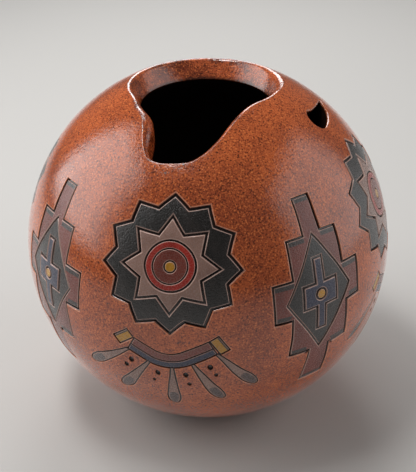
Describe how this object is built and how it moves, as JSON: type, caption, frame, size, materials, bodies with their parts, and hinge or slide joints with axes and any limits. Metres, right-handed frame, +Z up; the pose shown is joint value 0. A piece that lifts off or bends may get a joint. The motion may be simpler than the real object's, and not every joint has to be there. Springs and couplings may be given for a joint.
{
  "type": "seed pot",
  "caption": "Round burnished clay seed pot on a flat base, with a free-form mouth at the top, a tear-shaped hole in the shoulder, and carved fields of coloured slip round its sides.",
  "frame": {"origin": "middle of the flat base, on the surface that the pot stands on", "axes": "+Z up along the pot's axis, -Y towards the mouth's tongue at the front, +X towards the tear-shaped hole"},
  "size_m": [0.14, 0.14, 0.1301],
  "materials": {
    "clay": "burnished satin",
    "charcoal_slip": "matte",
    "taupe_slip": "matte",
    "red_slip": "matte",
    "mauve_slip": "matte",
    "slate_slip": "matte",
    "ochre_slip": "matte"
  },
  "bodies": {
    "root": {"pot_shell": "clay", "front_medallion_sun": "charcoal_slip", "front_medallion_star": "taupe_slip", "front_medallion_ring": "red_slip", "front_medallion_heart": "mauve_slip", "front_medallion_dot": "ochre_slip", "front_fan_upper_band": "mauve_slip", "front_fan_lower_band": "slate_slip", "front_fan_left_bar": "ochre_slip", "front_fan_right_bar": "ochre_slip", "front_fan_feathers": "taupe_slip", "right_medallion_sun": "charcoal_slip", "right_medallion_star": "taupe_slip", "right_medallion_ring": "red_slip", "right_medallion_heart": "mauve_slip", "right_medallion_dot": "ochre_slip", "right_fan_upper_band": "mauve_slip", "right_fan_lower_band": "slate_slip", "right_fan_left_bar": "ochre_slip", "right_fan_right_bar": "ochre_slip", "right_fan_feathers": "taupe_slip", "back_medallion_sun": "charcoal_slip", "back_medallion_star": "taupe_slip", "back_medallion_ring": "red_slip", "back_medallion_heart": "mauve_slip", "back_medallion_dot": "ochre_slip", "back_fan_upper_band": "mauve_slip", "back_fan_lower_band": "slate_slip", "back_fan_left_bar": "ochre_slip", "back_fan_right_bar": "ochre_slip", "back_fan_feathers": "taupe_slip", "left_medallion_sun": "charcoal_slip", "left_medallion_star": "taupe_slip", "left_medallion_ring": "red_slip", "left_medallion_heart": "mauve_slip", "left_medallion_dot": "ochre_slip", "left_fan_upper_band": "mauve_slip", "left_fan_lower_band": "slate_slip", "left_fan_left_bar": "ochre_slip", "left_fan_right_bar": "ochre_slip", "left_fan_feathers": "taupe_slip", "front_right_diamond_steps": "mauve_slip", "front_right_diamond_field": "charcoal_slip", "front_right_diamond_cross": "slate_slip", "front_right_diamond_dot": "ochre_slip", "back_right_diamond_steps": "mauve_slip", "back_right_diamond_field": "charcoal_slip", "back_right_diamond_cross": "slate_slip", "back_right_diamond_dot": "ochre_slip", "back_left_diamond_steps": "mauve_slip", "back_left_diamond_field": "charcoal_slip", "back_left_diamond_cross": "slate_slip", "back_left_diamond_dot": "ochre_slip", "front_left_diamond_steps": "mauve_slip", "front_left_diamond_field": "charcoal_slip", "front_left_diamond_cross": "slate_slip", "front_left_diamond_dot": "ochre_slip"}
  },
  "joints": []
}
